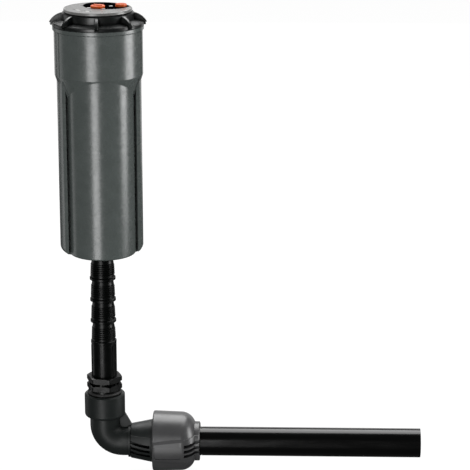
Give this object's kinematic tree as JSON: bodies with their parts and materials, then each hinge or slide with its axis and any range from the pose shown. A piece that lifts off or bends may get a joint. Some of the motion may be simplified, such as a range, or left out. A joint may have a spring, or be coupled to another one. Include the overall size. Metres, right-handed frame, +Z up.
{
  "type": "irrigation elbow fitting with pop-up sprinkler",
  "caption": "Compression elbow joining a supply pipe to a cut-to-length threaded riser and a pop-up rotor sprinkler, with a clamping nut and a gear-driven turret.",
  "frame": {"origin": "centre of the supply pipe's open end", "axes": "+X out of the pipe's open end along the pipe; +Z up, along the riser and sprinkler"},
  "size_m": [0.3131, 0.0802, 0.408],
  "materials": {
    "housing_grey": "fine satin moulding",
    "nut_grey": "satin moulding",
    "disc_grey": "smooth satin-gloss moulding",
    "pipe_black": "extruded, waxy gloss",
    "elbow_black": "satin moulding",
    "riser_black": "glossy moulding",
    "cap_black": "satin-gloss moulding",
    "plate_black": "smooth",
    "dial_orange": "satin moulding",
    "inner_black": "satin",
    "nozzle_grey": "satin",
    "inner_grey": "satin",
    "acetal_white": "natural acetal",
    "spring_steel": "drawn wire",
    "pin_steel": "ground",
    "seal_rubber": "matt"
  },
  "bodies": {
    "root": {"supply_pipe": "pipe_black", "elbow_body": "elbow_black", "pipe_o_ring": "seal_rubber", "thrust_ring": "inner_black", "extension_riser": "riser_black", "socket_seal": "seal_rubber", "inlet_seal": "seal_rubber", "housing": "housing_grey", "screw_cap": "cap_black", "cap_o_ring": "seal_rubber", "wiper_seal": "seal_rubber", "spring_seat": "acetal_white", "retraction_spring": "spring_steel"},
    "riser": {"riser_tube": "inner_black", "riser_foot": "inner_black", "inlet_filter": "inner_grey", "turbine_stator": "inner_grey", "rotor_pin": "pin_steel", "gearbox_plate": "inner_grey", "layshaft_pin": "pin_steel", "turret_seal": "seal_rubber"},
    "turbine": {"turbine_rotor": "acetal_white"},
    "layshaft": {"compound_gear": "acetal_white"},
    "turret": {"drive_cup": "acetal_white", "turret_body": "inner_black", "nozzle": "nozzle_grey", "turret_cover": "disc_grey", "dial_plate": "plate_black"},
    "sector_dial": {"sector_dial": "dial_orange"},
    "range_screw": {"range_screw": "dial_orange"},
    "clamp": {"grip_ring": "acetal_white"},
    "nut": {"compression_nut": "nut_grey"}
  },
  "joints": [
    {"name": "riser_popup", "type": "slide", "parent": "root", "child": "riser", "axis": [0, 0, 1], "range_m": [0, 0.1], "stiffness_N_per_m": 300, "springref_m": -0.05, "deforming": ["retraction_spring"]},
    {"name": "turret_turn", "type": "hinge", "parent": "riser", "child": "turret", "pos_m": [-0.273, 0, 0], "axis": [0, 0, 1], "continuous": true},
    {"name": "turbine_spin", "type": "hinge", "parent": "riser", "child": "turbine", "pos_m": [-0.273, 0, 0], "axis": [0, 0, 1], "continuous": true},
    {"name": "layshaft_spin", "type": "hinge", "parent": "riser", "child": "layshaft", "pos_m": [-0.2634, 0, 0], "axis": [0, 0, 1], "continuous": true},
    {"name": "sector_dial_turn", "type": "hinge", "parent": "turret", "child": "sector_dial", "pos_m": [-0.273, 0, 0], "axis": [0, 0, 1], "range_deg": [-150, 150]},
    {"name": "range_screw_turn", "type": "hinge", "parent": "turret", "child": "range_screw", "pos_m": [-0.2545, 0.0072, 0], "axis": [0, 0, 1], "range_deg": [-60, 240]},
    {"name": "grip_release", "type": "slide", "parent": "root", "child": "clamp", "axis": [1, 0, 0], "range_m": [0, 0.00701]},
    {"name": "nut_turn", "type": "hinge", "parent": "clamp", "child": "nut", "pos_m": [-0.273, 0, 0], "axis": [1, 0, 0], "range_deg": [0, 140]}
  ],
  "couplings": [
    {"joint": "layshaft_spin", "follows": "turret_turn", "ratio": 4.2},
    {"joint": "turbine_spin", "follows": "turret_turn", "ratio": -9.24},
    {"joint": "grip_release", "follows": "nut_turn", "m_per_rad": 0.0028648}
  ]
}
